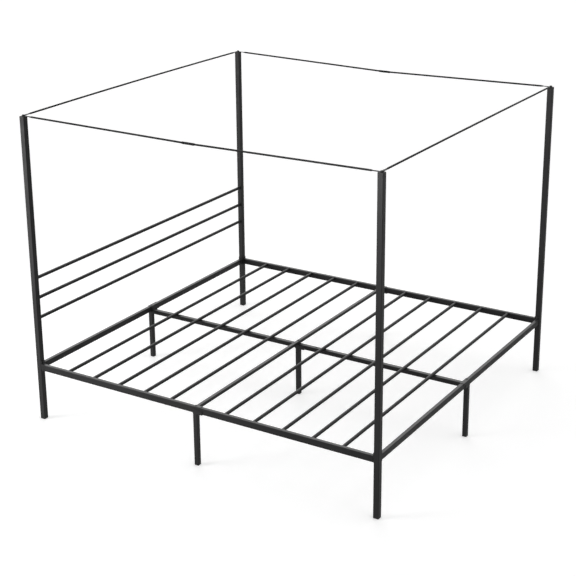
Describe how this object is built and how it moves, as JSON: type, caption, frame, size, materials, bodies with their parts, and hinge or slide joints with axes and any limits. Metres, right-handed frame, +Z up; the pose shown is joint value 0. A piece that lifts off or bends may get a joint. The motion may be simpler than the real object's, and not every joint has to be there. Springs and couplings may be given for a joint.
{
  "type": "four poster canopy bed",
  "caption": "Metal four poster bed frame with slatted base, headboard bars, middle support legs and thin canopy rods around the top of the posts.",
  "frame": {"origin": "on the floor under the middle of the bed", "axes": "+Z up, +Y towards the head of the bed, +X to the right seen from the foot"},
  "size_m": [2.0056, 2.1, 1.7127],
  "materials": {
    "post_coat": "charcoal black satin powder coat",
    "rail_coat": "charcoal black satin powder coat",
    "leg_coat": "charcoal black satin powder coat",
    "bar_coat": "charcoal black satin powder coat on round tube",
    "rod_coat": "charcoal black satin powder coat, thinner over the pressed ends",
    "black_bolts": "blackened steel",
    "thumb_screws": "black enamel",
    "zinc_nuts": "zinc plated",
    "black_plastic": "fine moulded texture"
  },
  "bodies": {
    "root": {"canopy_rod_coupler_left": "rod_coat", "canopy_rod_coupler_right": "rod_coat", "canopy_rod_foot": "rod_coat", "canopy_rod_head": "rod_coat", "canopy_rod_left_foot": "rod_coat", "canopy_rod_left_head": "rod_coat", "canopy_rod_right_foot": "rod_coat", "canopy_rod_right_head": "rod_coat", "canopy_thumb_screws": "thumb_screws", "centre_rail_foot": "rail_coat", "centre_rail_head": "rail_coat", "centre_rail_sleeve": "rail_coat", "centre_rail_sleeve_bolts": "black_bolts", "foot_rail": "rail_coat", "head_rail": "rail_coat", "headboard_bar_bottom": "bar_coat", "headboard_bar_bushes": "black_plastic", "headboard_bar_middle": "bar_coat", "headboard_bar_top": "bar_coat", "leg_bolts": "black_bolts", "leg_foot_caps": "black_plastic", "mid_cross_beam": "rail_coat", "post_foot_caps": "black_plastic", "post_foot_left": "post_coat", "post_foot_right": "post_coat", "post_head_left": "post_coat", "post_head_right": "post_coat", "post_rivet_nuts": "zinc_nuts", "post_top_plugs": "black_plastic", "rail_corner_bolts": "black_bolts", "side_rail_left_foot": "rail_coat", "side_rail_left_head": "rail_coat", "side_rail_right_foot": "rail_coat", "side_rail_right_head": "rail_coat", "side_rail_sleeve_bolts": "black_bolts", "side_rail_sleeve_left": "rail_coat", "side_rail_sleeve_right": "rail_coat", "slat_1": "bar_coat", "slat_10": "bar_coat", "slat_2": "bar_coat", "slat_3": "bar_coat", "slat_4": "bar_coat", "slat_5": "bar_coat", "slat_6": "bar_coat", "slat_7": "bar_coat", "slat_8": "bar_coat", "slat_9": "bar_coat", "slat_end_plugs": "black_plastic", "support_leg_centre": "leg_coat", "support_leg_foot": "leg_coat", "support_leg_head": "leg_coat", "support_leg_left": "leg_coat", "support_leg_right": "leg_coat"}
  },
  "joints": []
}
